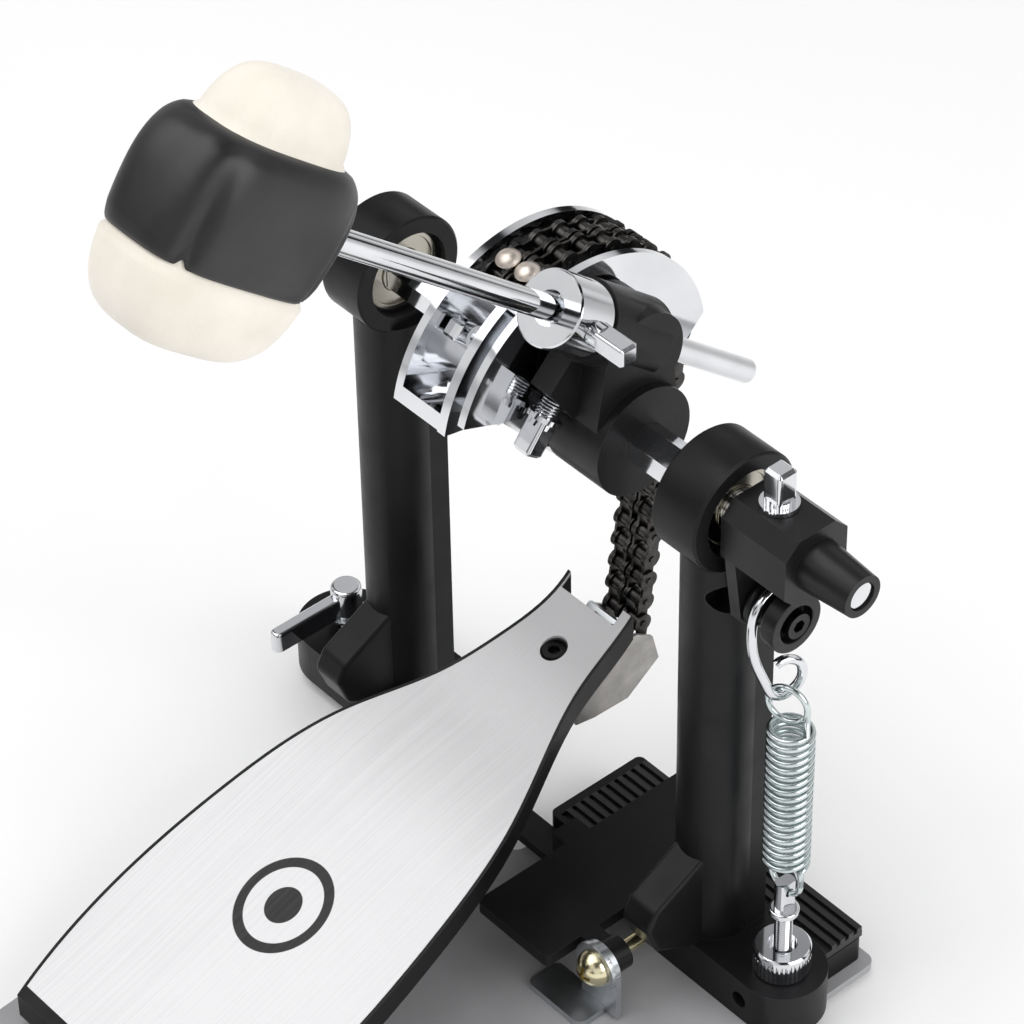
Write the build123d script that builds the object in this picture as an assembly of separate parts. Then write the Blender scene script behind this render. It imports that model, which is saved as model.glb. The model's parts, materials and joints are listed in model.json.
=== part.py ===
"""Single bass drum pedal with a twin-strand chain drive.

Units are millimetres. The drive shaft runs along X at SHAFT_Z above the floor and the origin is on the
floor under the shaft's middle. +Y points at the drum, -Y at the player's heel, +X is the spring side.
"""
import os
from math import asin, cos, degrees, radians, sin, sqrt

from build123d import *

# ---- driving dimensions -------------------------------------------------------------------------
SHAFT_Z = 200.0            # shaft axis above the floor
POST_X = 77.8              # half the distance between the posts
POST_R = 12.8              # round rear of a post
HOUSING_R = 20.9           # bearing housing on top of a post
HOUSING_HALF_WIDTH = 9.5
BEARING_OD = 28.0          # 63001 bearing: 12 x 28 x 12
BEARING_ID = 12.0
BEARING_WIDTH = 12.0
HEX_AF = 12.7              # shaft across its flats
HEX_HALF_LENGTH = 71.6
FIT_GAP = 0.05             # gap between pieces that touch

PLATE_BOTTOM = 2.0
PLATE_TOP = 5.0
LUG_TOP = 22.0
LUG_X = 110.0              # spring and clamp screw axes
SPRING_LUG_R = 15.0
CLAMP_LUG_R = 18.0
JAW_TOP = 19.0

CAM_R = 51.0               # outer radius of the cam's flanges
CHEEK_X0, CHEEK_X1 = 12.4, 15.3   # the cam's right cheek
CHAIN_R = 48.2             # radius of the chain pins on the cam
CHAIN_PITCH = 8.8
STRAND_X = 4.35            # middle of one strand of the twin chain
PLATE_T = 0.9
FIRST_PIN_DEG = -5.5       # where the chain leaves the cam, from +Y towards +Z
CHAIN_LEAN_DEG = 8.0       # hanging run, from the vertical
HANGING_LINKS = 14
HINGED_LINKS = 4
CAM_LINKS = 7              # links that stay on the cam

HUB_X0, HUB_X1 = 19.5, 39.0
ROD_R = 4.0
ROD_X = 27.7
ROD_FOOT = (17.4, 20.9)    # rod's nearest point to the shaft axis, as (y, z from the axis)
ROD_DIR = (-0.767, 0.641)  # rod's direction in the YZ plane
ROD_START, ROD_END = -52.0, 214.0     # rod's ends, measured along it from that point
HEAD_S = 200.7             # head's middle, measured the same way

ROLLER_DROP = 29.0         # roller axle below the shaft axis
EYE_Z = 57.0               # spring's lower eye
HEEL_Y, HEEL_Z = -197.0, 12.5

CLAMP_PIVOT = (72.6, 25.0) # x and z of the clamp lever's pivot screw

# ---- small helpers ------------------------------------------------------------------------------


def box(x, y, z):
    """A box from three (low, high) pairs."""
    middle = [(a + b) / 2 for a, b in (x, y, z)]
    return Pos(*middle) * Box(x[1] - x[0], y[1] - y[0], z[1] - z[0])


def rod_x(radius, x0, x1, y=0.0, z=SHAFT_Z):
    """A round bar along X."""
    return Pos((x0 + x1) / 2, y, z) * Rot(0, 90, 0) * Cylinder(radius, x1 - x0)


def ring_x(outer, inner, x0, x1, y=0.0, z=SHAFT_Z):
    """A ring round the X direction."""
    return rod_x(outer, x0, x1, y, z) - rod_x(inner, x0 - 1, x1 + 1, y, z)


def rod_y(radius, y0, y1, x, z):
    """A round bar along Y."""
    return Pos(x, (y0 + y1) / 2, z) * Rot(90, 0, 0) * Cylinder(radius, y1 - y0)


def rod_z(radius, z0, z1, x, y):
    """A round bar along Z."""
    return Pos(x, y, (z0 + z1) / 2) * Cylinder(radius, z1 - z0)


def side_plate(points, x0, x1):
    """A plate whose outline is given as (y, z) points and which spans x0 to x1."""
    face = make_face(Plane.YZ.offset(x0) * Polyline(*points, close=True))
    return extrude(face, amount=x1 - x0, dir=(1, 0, 0))


def arc_points(radius, start_deg, end_deg, count, z0=SHAFT_Z):
    """Points on an arc about the shaft axis, as (y, z)."""
    step = (end_deg - start_deg) / (count - 1)
    angles = [radians(start_deg + step * i) for i in range(count)]
    return [(radius * cos(a), z0 + radius * sin(a)) for a in angles]


def sector(outer, inner, start_deg, end_deg, x0, x1):
    """Part of a ring about the shaft axis."""
    wedge = [(0.0, SHAFT_Z)] + arc_points(outer * 1.6, start_deg, end_deg, 9)
    ring = rod_x(outer, x0, x1)
    if inner:
        ring = ring - rod_x(inner, x0 - 1, x1 + 1)
    return ring & side_plate(wedge, x0 - 1, x1 + 1)


def hex_bar(across_flats, x0, x1):
    """Hexagonal bar along the shaft axis with a corner on top."""
    outline = Plane.YZ.offset(x0) * Pos(0, SHAFT_Z) * RegularPolygon(
        across_flats / 2, 6, major_radius=False, rotation=30)
    return extrude(outline, amount=x1 - x0, dir=(1, 0, 0))


def solids(*shapes):
    """Several separate solids as one node."""
    found = []
    for shape in shapes:
        found.extend(shape.solids())
    return Compound(children=found)


def aimed(shape, origin, direction):
    """Moves a shape built along +Z so that it starts at origin and points along direction."""
    return Plane(origin=origin, z_dir=direction) * shape


def thread(radius, length, pitch, depth=0.45):
    """A threaded stud along +Z from the origin, drawn as ring grooves."""
    points = [(0, 0), (radius - depth, 0)]
    count = int(length / pitch)
    for i in range(count):
        points.append((radius, (i + 0.5) * pitch))
        points.append((radius - depth, (i + 1) * pitch))
    points.append((0, count * pitch))
    return revolve(make_face(Plane.XZ * Polyline(*points, close=True)), Axis.Z)


def drum_key_bolt(shank, grip, collar_r, square, square_height):
    """Drum-key bolt along +Z: threaded shank below the collar, square head with a chamfered end above."""
    screw = Pos(0, 0, -grip) * thread(shank, grip, 1.0) + Pos(0, 0, -0.5) * Cylinder(shank - 0.45, 2.0)
    collar = Pos(0, 0, 0.6) * Cylinder(collar_r, 1.6)
    neck = Pos(0, 0, 2.4) * Cylinder(square / 2 + 0.6, 2.4)
    head = Pos(0, 0, 1.5 + square_height / 2) * Box(square, square, square_height + 1.0)
    head = fillet(head.edges().filter_by(Axis.Z), square * 0.16)
    head = chamfer(head.faces().sort_by(Axis.Z)[-1].edges(), square * 0.15)
    return screw + collar + neck + head


def along_rod(s, across=0.0):
    """Point on the beater rod's axis at distance s, moved across it in the YZ plane."""
    y = ROD_FOOT[0] + s * ROD_DIR[0] + across * ROD_DIR[1]
    z = SHAFT_Z + ROD_FOOT[1] + s * ROD_DIR[1] - across * ROD_DIR[0]
    return (ROD_X, y, z)


ROD_AXIS = (0, ROD_DIR[0], ROD_DIR[1])


def rod_bar(radius, s0, s1):
    """Round bar on the beater rod's axis from s0 to s1."""
    bar = Pos(0, 0, (s1 - s0) / 2) * Cylinder(radius, s1 - s0)
    return aimed(bar, along_rod(s0), ROD_AXIS)


# ---- base ---------------------------------------------------------------------------------------


PLATE_SCREWS = [(72.0, -8.0), (86.0, -8.0), (-72.0, 7.0), (-86.0, 7.0), (30.0, -245.0), (-30.0, -245.0)]
SCREW_TOP = 12.0


def base_plate():
    """Steel plate; wide on the spring side, and no wider than the post on the other."""
    outline = [(-92, -13), (-92, 13), (-66, 13), (-66, -20), (2, -20), (2, 36), (118, 36), (118, -62),
               (60, -140), (50, -278), (-50, -278), (-60, -140), (-66, -40), (-78, -13)]
    plate = extrude(make_face(Plane.XY.offset(PLATE_BOTTOM) * Polyline(*outline, close=True)),
                    amount=PLATE_TOP - PLATE_BOTTOM, dir=(0, 0, 1))
    plate = fillet(plate.edges().filter_by(Axis.Z), 4)
    for x, y in PLATE_SCREWS:
        plate -= Pos(x, y, PLATE_BOTTOM + 1.0) * Cone(4.65, 2.55, 2.1)
        plate -= rod_z(2.55, 0, 10, x, y)
    return plate


def screw_holes(side, low_y, high_y):
    """Tapped holes over the plate screws on one side of the middle and between two y values."""
    holes = [rod_z(2.5, 0, SCREW_TOP + 0.5, x, y)
             for x, y in PLATE_SCREWS if x * side > 0 and low_y < y < high_y]
    return Compound(children=holes)


def plate_screws():
    """Countersunk screws up through the base plate."""
    screws = []
    for x, y in PLATE_SCREWS:
        head = Pos(x, y, PLATE_BOTTOM + 0.95) * Cone(4.5, 2.45, 1.9)
        screws.append(head + rod_z(2.45, PLATE_BOTTOM + 0.5, SCREW_TOP, x, y))
    return solids(*screws)


def base_feet():
    places = [(-79, 0, 20, 20), (95, -40, 34, 22), (60, 20, 90, 14), (0, -262, 80, 22)]
    return solids(*[box((x - w / 2, x + w / 2), (y - d / 2, y + d / 2), (0, PLATE_BOTTOM - FIT_GAP))
                    for x, y, w, d in places])


BUTTRESS = [(0, 60), (-12, 57.5), (-31.5, 47.0), (-35, 40.5), (-30.5, 29), (-16, 21), (0, 21)]   # (y, z)
BUTTRESS_HALF_WIDTH = 6.4


def post_column(side):
    """Post with its bearing housing and buttress. side is +1 for the right post, -1 for the left."""
    x = side * POST_X
    foot = PLATE_TOP + FIT_GAP
    column_top = SHAFT_Z - 18
    column = rod_z(POST_R, foot, column_top, x, 0)
    panel = box((x - POST_R + 0.6, x + POST_R - 0.6), (0.8, 11.5), (foot, column_top))
    housing = rod_x(HOUSING_R, x - HOUSING_HALF_WIDTH, x + HOUSING_HALF_WIDTH)
    housing = chamfer(housing.edges().filter_by(GeomType.CIRCLE), 0.8)
    buttress = side_plate(BUTTRESS, x - BUTTRESS_HALF_WIDTH, x + BUTTRESS_HALF_WIDTH)
    nose = buttress.edges().filter_by(Axis.X).sort_by(Axis.Y)[:3]
    buttress = fillet(nose, 4.0)
    buttress = fillet(buttress.faces().filter_by(Axis.X).edges(), 1.4)
    bored = column + panel + housing + buttress
    bored -= rod_x(BEARING_OD / 2 + 0.02, x - BEARING_WIDTH / 2, x + BEARING_WIDTH / 2)
    bored -= rod_x(BEARING_OD / 2 + 1.2, x + BEARING_WIDTH / 2, x + 20)
    bored -= rod_x(BEARING_OD / 2 + 1.2, x - 20, x - BEARING_WIDTH / 2)
    return bored


def lug(side):
    """Rounded block outboard of a post."""
    foot = PLATE_TOP + FIT_GAP
    radius = SPRING_LUG_R if side > 0 else CLAMP_LUG_R
    low, high = sorted((side * (POST_X - 12), side * LUG_X))
    block = box((low, high), (-radius, radius), (foot, LUG_TOP))
    block += rod_z(radius, foot, LUG_TOP, side * LUG_X, 0)
    return block


def right_post():
    foot = PLATE_TOP + FIT_GAP
    body = post_column(1) + lug(1)
    jaw = box((5.5, 113.5), (-7.5, 33.5), (foot, JAW_TOP))
    jaw = fillet(jaw.edges().filter_by(Axis.Z), 2.5)
    body += jaw
    body -= box((9.0, 63.0), (-5.5, 35.0), (JAW_TOP - 4, JAW_TOP + 1))
    body -= box((62.0, 115.0), (15.5, 35.0), (JAW_TOP - 4, JAW_TOP + 1))
    body -= rod_z(3.1, 0, LUG_TOP + 1, LUG_X, 0)                    # eyebolt
    body -= rod_y(3.0, -SPRING_LUG_R - 1, -4, LUG_X - 4, 13.5)             # grub screw hole
    body -= rod_x(5.7, POST_X + 4, POST_X + POST_R + 2, -6.0, SHAFT_Z - 29.5)
    body -= rod_y(2.55, -36, -3.5, *CLAMP_PIVOT)
    return body - screw_holes(1, -100, 100)


def left_post():
    foot = PLATE_TOP + FIT_GAP
    body = post_column(-1) + lug(-1)
    body -= rod_z(4.1, 0, LUG_TOP + 1, -LUG_X, 0)                   # clamp screw
    body -= rod_z(12.9, foot - 1, 17.0, -LUG_X, 0)                  # hollow for the lever's end
    body -= box((-LUG_X, -92.0), (-12.9, 12.9), (foot - 1, 17.0))
    body -= box((-93.0, -POST_X + 16), (-13.3, -3.2), (6.5, 16.4))  # passage for the lever's arm
    return body - screw_holes(-1, -100, 100)


PAD_RIBS = 10
PAD_PITCH = 3.8


def hoop_pad():
    """Ribbed rubber pad of the hoop clamp."""
    low = JAW_TOP - 4 + FIT_GAP
    left = box((9.1, 62.9), (-5.4, 33.3), (low, JAW_TOP - 1.2))
    pad = left + box((62.0, 113.3), (15.6, 33.3), (low, JAW_TOP - 1.2))
    for i in range(PAD_RIBS):
        y = 32.0 - PAD_PITCH * i
        right_end = 113.3 if y > 17 else 62.9
        pad += box((9.1, right_end), (y - 1.1, y + 1.1), (JAW_TOP - 2, JAW_TOP + 0.6))
    return pad


# ---- bearings -----------------------------------------------------------------------------------
RACE_OUTER = 12.5
RACE_INNER = 7.55
BALL_R = 2.40


def bearing_outer_rings():
    half = BEARING_WIDTH / 2 - 0.05
    return solids(*[ring_x(BEARING_OD / 2, RACE_OUTER, x - half, x + half) for x in (-POST_X, POST_X)])


def bearing_inner_rings():
    half = BEARING_WIDTH / 2 - 0.05
    return solids(*[ring_x(RACE_INNER, BEARING_ID / 2 + 0.02, x - half, x + half)
                    for x in (-POST_X, POST_X)])


def bearing_shields():
    rings = []
    for x in (-POST_X, POST_X):
        for side in (-1, 1):
            low, high = sorted((x + side * 4.6, x + side * 5.3))
            rings.append(ring_x(RACE_OUTER - 0.05, RACE_INNER + 0.15, low, high))
    return solids(*rings)


def bearing_balls():
    middle = (RACE_OUTER + RACE_INNER) / 2
    balls = []
    for x in (-POST_X, POST_X):
        for i in range(9):
            angle = radians(40 * i)
            balls.append(Pos(x, middle * cos(angle), SHAFT_Z + middle * sin(angle)) * Sphere(BALL_R))
    return solids(*balls)


def bearing_cages():
    middle = (RACE_OUTER + RACE_INNER) / 2
    cages = []
    for x in (-POST_X, POST_X):
        cage = ring_x(middle + 0.9, middle - 0.9, x - 3.6, x + 3.6)
        for i in range(9):
            angle = radians(40 * i)
            cage -= Pos(x, middle * cos(angle), SHAFT_Z + middle * sin(angle)) * Sphere(BALL_R + 0.1)
        cages.append(cage)
    return solids(*cages)


# ---- shaft group --------------------------------------------------------------------------------


def hex_shaft():
    bar = hex_bar(HEX_AF, -HEX_HALF_LENGTH, HEX_HALF_LENGTH)
    bar += rod_x(BEARING_ID / 2, -88.0, -HEX_HALF_LENGTH + 1)
    bar += rod_x(BEARING_ID / 2, HEX_HALF_LENGTH - 1, 112.0)
    bar += rod_x(4.8, 111.0, 136.2)
    bar -= ring_x(BEARING_ID, 5.2, -86.6, -85.4)
    return chamfer(bar.edges().filter_by(GeomType.CIRCLE).group_by(Axis.X)[-1], 0.4)


def retaining_ring():
    ring = ring_x(9.0, 5.25, -86.5, -85.5)
    return ring - box((-88, -84), (-2.4, 2.4), (SHAFT_Z - 12, SHAFT_Z))


FLANGE_START = 9.0
FLANGE_END = 169.4
POCKET_START = 117.5


def cam_flange(x0, x1, radius, end_deg):
    """Half-round cheek of the cam with straight sides down to its hub."""
    front, rear = radians(FLANGE_START), radians(end_deg)
    sides = [(radius * cos(front), SHAFT_Z + radius * sin(front)),
             (radius * cos(rear), SHAFT_Z + radius * sin(rear)),
             (-33.1, SHAFT_Z + 9.0), (-13.0, SHAFT_Z - 14.2), (14.0, SHAFT_Z - 14.2), (36.0, SHAFT_Z - 6.0)]
    cheek = sector(radius, 0, FLANGE_START, end_deg, x0, x1) + side_plate(sides, x0, x1)
    return cheek + rod_x(19.2, x0, x1)


def cam_pocket():
    """Opening in the cam's rim beside the chain, round at its lower end."""
    low_x, high_x = -12.6, 5.5
    radius = (high_x - low_x) / 2
    end = radians(163.0) - radius / CAM_R
    straight = sector(CAM_R + 2, 33.6, POCKET_START + 3, degrees(end), low_x, high_x)
    middle = ((low_x + high_x) / 2, 33.6 * cos(end), SHAFT_Z + 33.6 * sin(end))
    return straight + aimed(Pos(0, 0, 12) * Cylinder(radius, 24), middle, (0, cos(end), sin(end)))


def cam_wheel():
    left = cam_flange(-15.6, -12.6, CAM_R, FLANGE_END)
    right = cam_flange(CHEEK_X0, CHEEK_X1, CAM_R - 0.4, 163.0)
    core = rod_x(18.0, -15.0, CHEEK_X1)
    floor = sector(44.3, 33.0, -13.0, POCKET_START, -12.8, CHEEK_X0 + 0.2)
    web = sector(44.3, 0, -13.0, 168.0, -2.0, 2.0)
    middle_rim = sector(CAM_R + 0.6, 30.0, POCKET_START, FLANGE_END, 5.5, 9.0)
    pocket_back = sector(CAM_R, 33.0, POCKET_START, POCKET_START + 3, -12.8, 9.0)
    pocket_floor = sector(33.5, 30.0, POCKET_START - 1, FLANGE_END, -12.8, CHEEK_X0 + 0.2)
    bottom_bar = sector(CAM_R, 30.0, 163.0, FLANGE_END, -12.8, 9.0)
    groove_floor = sector(41.0, 30.0, POCKET_START, 163.0, 8.8, CHEEK_X0 + 0.2)
    boss = sector(41.5, 15.0, 137.0, 161.0, CHEEK_X1 - 0.2, 18.3)
    wheel = left + right + core + floor + web + middle_rim + pocket_back + pocket_floor
    wheel = wheel + bottom_bar + groove_floor + boss
    wheel -= cam_pocket()
    ring_place = radians(134.0)
    ring_axis = (0, cos(ring_place), sin(ring_place))
    seat = (1.0, 33.0 * cos(ring_place), SHAFT_Z + 33.0 * sin(ring_place))
    ring = Pos(0, 0, 5.0) * Cylinder(4.4, 10.4) - Pos(0, 0, 8.0) * Cylinder(3.0, 10.4)
    wheel += aimed(ring, seat, ring_axis)
    wheel -= hex_bar(HEX_AF + 2 * FIT_GAP, -20, 20)
    bolt_axis = (0, cos(CAM_BOLT), sin(CAM_BOLT))
    hole = Pos(0, 0, 20) * Cylinder(3.05, 40)
    start = (-8.4, 7.2 * cos(CAM_BOLT), SHAFT_Z + 7.2 * sin(CAM_BOLT))
    wheel -= aimed(hole, start, bolt_axis)
    rivet_hole = Pos(0, 0, 20) * Cylinder(1.65, 40)
    outward = (0, cos(RIVET), sin(RIVET))
    for x in (-STRAND_X, STRAND_X):
        wheel -= aimed(rivet_hole, (x, 30 * outward[1], SHAFT_Z + 30 * outward[2]), outward)
    return wheel


CAM_BOLT = radians(136.0)


def cam_clamp_bolt():
    bolt = drum_key_bolt(3.0, 26.5, collar_r=4.1, square=6.0, square_height=8.0)
    seat = 35.0
    return aimed(bolt, (-8.4, seat * cos(CAM_BOLT), SHAFT_Z + seat * sin(CAM_BOLT)),
                 (0, cos(CAM_BOLT), sin(CAM_BOLT)))


HUB_BOLT_AXIS = (0, -0.62, -0.785)
HUB_BOLT_SEAT = (24.6, -20.5, 216.8)


def beater_hub():
    lower = rod_x(19.0, HUB_X0, HUB_X1 + 3.5)
    upper = rod_x(16.0, HUB_X0 - 2.5, HUB_X1, 3.0, SHAFT_Z + 28.0)
    sides = [(-13.0, SHAFT_Z + 30), (-16.5, SHAFT_Z + 8), (16.5, SHAFT_Z + 8), (15.5, SHAFT_Z + 22)]
    link = side_plate(sides, HUB_X0, HUB_X1)
    neck = rod_bar(13.0, 8.0, 37.5)
    ear = side_plate([(-4, SHAFT_Z + 4), (-4, SHAFT_Z + 30), (-16, SHAFT_Z + 34), (-26, SHAFT_Z + 24),
                      (-14, SHAFT_Z + 6)], 20.3, HUB_X0 + 9.5)
    hub = (lower + upper + link + neck + ear) & box((CHEEK_X1 + 0.3, 60), (-80, 80), (100, 300))
    hub -= rod_x(17.5, HUB_X0 - 4, HUB_X0)
    hub -= hex_bar(HEX_AF + 2 * FIT_GAP, 0, 60)
    hub -= rod_bar(ROD_R + FIT_GAP, -60, 60)
    hub -= rod_bar(7.0 + FIT_GAP, 28.0, 60)
    start = tuple(c - 16.0 * a for c, a in zip(HUB_BOLT_SEAT, HUB_BOLT_AXIS))
    hub -= aimed(Pos(0, 0, 20) * Cylinder(4.1, 40), start, HUB_BOLT_AXIS)
    return hub


def hub_clamp_bolt():
    bolt = drum_key_bolt(4.0, 15.0, collar_r=5.8, square=7.4, square_height=11.0)
    seat = tuple(c + 5.5 * a for c, a in zip(HUB_BOLT_SEAT, HUB_BOLT_AXIS))
    return aimed(bolt, seat, HUB_BOLT_AXIS)


def rod_bushing():
    """Chrome collar on the hub that grips the beater rod."""
    collar = rod_bar(12.2, 37.6, 55.0)
    collar = chamfer(collar.edges().filter_by(GeomType.CIRCLE), 0.6)
    collar += rod_bar(7.0, 28.2, 38.0)
    collar -= rod_bar(ROD_R + FIT_GAP, 20, 60)
    collar -= rod_bar(ROD_R + 1.6, 51.5, 60)
    screw_y, screw_z = along_rod(45.5)[1:]
    return collar - rod_x(2.6, ROD_X + 4.3, ROD_X + 20, screw_y, screw_z)


def rod_lock_screw():
    y, z = along_rod(45.5)[1:]
    bolt = drum_key_bolt(2.5, 8.0, collar_r=4.0, square=6.8, square_height=13.0)
    return aimed(bolt, (ROD_X + 12.5, y, z), (1, 0, 0))


def beater_rod():
    bar = rod_bar(ROD_R, ROD_START, ROD_END)
    return chamfer(bar.edges().filter_by(GeomType.CIRCLE), 0.7)


HEAD_WIDTH = 36.0          # felt, along X, at the band's lower rim
HEAD_LENGTH = 60.6         # felt, along the rod, at the band's lower rim
HEAD_CORNER = 13.0
HEAD_ACROSS = 1.0          # head's middle off the rod's axis
HEAD_LOW, HEAD_HIGH = -42.4, 38.9     # striking faces, from the head's middle
BAND_LOW, BAND_HIGH = -17.0, 20.4     # rims of the rubber band
HEAD_TAPER = 0.77          # size above the band, against the size at its lower rim
HEAD_SHOULDER = 0.35       # share of the band's height below its rounded shoulder
LOWER_SWELL = 1.06         # size of the felt below the band
BAND_WALL = 2.0


def head_plane():
    """Plane at the head's middle: X along the shaft, Y through the striking faces, Z along the rod."""
    return Plane(origin=along_rod(HEAD_S, HEAD_ACROSS), x_dir=(1, 0, 0), z_dir=ROD_AXIS)


def head_section(height, scale, grow):
    """Rounded section of the head at a height between its faces."""
    place = Plane(origin=(0, height, 0), x_dir=(1, 0, 0), z_dir=(0, 1, 0))
    return place * RectangleRounded(HEAD_WIDTH * scale + 2 * grow, HEAD_LENGTH * scale + 2 * grow,
                                    HEAD_CORNER * scale + grow)


def head_scale(share):
    """Size of the head's section at a share of the band's height, rounding in at the shoulder."""
    past = max(0.0, (share - HEAD_SHOULDER) / (1 - HEAD_SHOULDER))
    return HEAD_TAPER + (1.0 - HEAD_TAPER) * sqrt(1 - past ** 3)


def head_taper(grow):
    """The middle of the head, between the band's rims."""
    shares = (0.0, HEAD_SHOULDER, 0.6, 0.76, 0.88, 0.96, 1.0)
    rings = []
    for share in shares:
        rings.append(head_section(BAND_LOW + (BAND_HIGH - BAND_LOW) * share, head_scale(share), grow))
    return loft(rings, ruled=True)


def rod_hole(radius):
    """Hole for the rod, in the head's own plane."""
    start = -HEAD_LENGTH
    end = ROD_END + 0.3 - HEAD_S
    return Pos(0, -HEAD_ACROSS, (start + end) / 2) * Cylinder(radius, end - start)


def beater_core():
    """Felt block with a striking face at each end, narrower towards the upper one."""
    ledge = BAND_LOW - FIT_GAP
    lower = extrude(head_section(ledge, LOWER_SWELL, 0), amount=ledge - HEAD_LOW, dir=(0, -1, 0))
    neck = extrude(head_section(BAND_LOW, 1.0, 0), amount=2.0, dir=(0, -1, 0))
    upper = extrude(head_section(BAND_HIGH, HEAD_TAPER, 0), amount=HEAD_HIGH - BAND_HIGH, dir=(0, 1, 0))
    lower = fillet(lower.faces().sort_by(Axis.Y)[0].edges(), 9)
    upper = fillet(upper.faces().sort_by(Axis.Y)[-1].edges(), 8)
    return head_plane() * (lower + neck + head_taper(0) + upper - rod_hole(ROD_R + FIT_GAP))


def beater_band():
    """Moulded rubber band round the middle of the head."""
    band = head_taper(BAND_WALL) - head_taper(FIT_GAP)
    return head_plane() * (band - rod_hole(ROD_R + 0.2))


# ---- rocker arm and spring ----------------------------------------------------------------------
ROLLER_Z = SHAFT_Z - ROLLER_DROP
ROCKER_X0, ROCKER_X1 = 90.0, 117.5
NOSE_END = 137.0


def rocker_arm():
    half = 12.6
    cut = 5.2
    block = box((ROCKER_X0, ROCKER_X1), (-half, half), (SHAFT_Z - half, SHAFT_Z + half))
    block = chamfer(block.edges().filter_by(Axis.X), cut)
    nose_middle = (ROCKER_X1 + NOSE_END) / 2
    nose = Pos(nose_middle, 0, SHAFT_Z) * Rot(0, 90, 0) * Cone(8.8, 7.2, NOSE_END - ROCKER_X1)
    arm = side_plate([(-half, SHAFT_Z - 2), (half, SHAFT_Z - 2), (8.5, ROLLER_Z - 4), (4.5, ROLLER_Z - 8),
                      (-4.5, ROLLER_Z - 8), (-8.5, ROLLER_Z - 4)], ROCKER_X0 + 1.0, ROCKER_X0 + 5.5)
    rocker = block + nose + arm
    rocker -= rod_x(BEARING_ID / 2 + 0.02, 80, 112.2)
    rocker -= rod_x(4.85, 110, 140)
    rocker -= rod_x(2.55, 80, 100, 0, ROLLER_Z)
    return rocker - rod_z(3.05, SHAFT_Z + 7, SHAFT_Z + 20, 101.5, 0)


def rocker_clamp_bolt():
    bolt = drum_key_bolt(3.0, 5.5, collar_r=6.2, square=7.4, square_height=12.0)
    return aimed(bolt, (101.5, 0, SHAFT_Z + 13.0), (0, 0, 1))


def spring_roller():
    """Grooved roller the stirrup hangs on, with a wide outer disc."""
    profile = [(2.6, 96.0), (8.6, 96.0), (8.6, 97.6), (6.6, 99.2), (6.6, 103.6), (10.2, 105.0),
               (10.2, 110.6), (6.6, 110.6), (6.6, 106.6), (2.6, 106.6)]
    points = [(r, 0, x) for r, x in profile]
    wire = Polyline(*points, close=True)
    wheel = revolve(make_face(wire), Axis.Z)
    return Pos(0, 0, ROLLER_Z) * Rot(0, 90, 0) * wheel


def roller_screw():
    screw = rod_x(2.5, 91.2, 107.2, 0, ROLLER_Z) + rod_x(4.4, 106.9, 111.6, 0, ROLLER_Z)
    socket = extrude(Plane.YZ.offset(109.4) * Pos(0, ROLLER_Z) * RegularPolygon(2.0, 6, major_radius=False),
                     amount=4)
    return screw - socket


STIRRUP_X = 101.4


def wire_path(points, radius):
    """A round wire that follows a smooth line through the given points."""
    line = Spline(*points)
    start = Plane(origin=line @ 0, z_dir=line % 0)
    return sweep(start * Circle(radius), path=line)


HOOK_Z = 139.6             # bottom of the stirrup's hook


def stirrup():
    """Wire hook: one end over the roller, the other turned up round the spring's loop."""
    points = [(STIRRUP_X, 10.2, ROLLER_Z - 17), (STIRRUP_X, 9.8, ROLLER_Z - 4),
              (STIRRUP_X, 6.6, ROLLER_Z + 6.0), (STIRRUP_X, 0, ROLLER_Z + 8.7),
              (STIRRUP_X, -6.6, ROLLER_Z + 6.0), (STIRRUP_X, -9.8, ROLLER_Z - 4),
              (102.8, -9.4, HOOK_Z + 17), (105.0, -6.6, HOOK_Z + 7), (105.8, -4.2, HOOK_Z + 2),
              (106.4, 0, HOOK_Z), (107.4, 4.2, HOOK_Z + 2), (108.2, 5.6, HOOK_Z + 6.4),
              (107.8, 4.6, HOOK_Z + 11.4), (106.5, 1.0, HOOK_Z + 14), (105.4, -3.0, HOOK_Z + 13.2)]
    return wire_path(points, 1.6)


SPRING_R = 6.75
WIRE_R = 1.05
COIL_LOW = 70.0
COIL_HEIGHT = 58.5
COIL_TURNS = 19
LOOP_X = 108.0             # middle of the upper loop
LOOP_Z = 136.4
LOOP_TURN = 20.0           # the upper loop is twisted about Z, in degrees


def wire_between(start, end):
    """Straight piece of the spring's wire."""
    path = Line(start, end)
    return sweep(Plane(origin=start, z_dir=path % 0) * Circle(WIRE_R), path=path)


def spring():
    """Tension spring: a helix with a round loop at each end."""
    helix = Pos(LUG_X, 0, COIL_LOW) * Helix(COIL_HEIGHT / COIL_TURNS, COIL_HEIGHT, SPRING_R)
    coil = sweep(Plane(origin=helix @ 0, z_dir=helix % 0) * Circle(WIRE_R), path=helix)
    top = Pos(LOOP_X, 0, LOOP_Z) * Rot(0, 0, LOOP_TURN) * Rot(90, 0, 0) * Torus(SPRING_R, WIRE_R)
    low = Pos(LUG_X, 0, EYE_Z + SPRING_R) * Rot(90, 0, 0) * Torus(SPRING_R, WIRE_R)
    coil_x = LUG_X + SPRING_R
    turn = radians(LOOP_TURN)
    loop_side = (LOOP_X + SPRING_R * cos(turn), SPRING_R * sin(turn), LOOP_Z)
    low_lead = wire_between((coil_x - 0.25, 0, EYE_Z + SPRING_R + 1.0), (coil_x, 0.3, COIL_LOW + 0.4))
    top_lead = wire_between((coil_x, 0, COIL_LOW + COIL_HEIGHT - 0.3), loop_side)
    return coil + top + low + low_lead + top_lead


# ---- spring anchor ------------------------------------------------------------------------------


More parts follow.
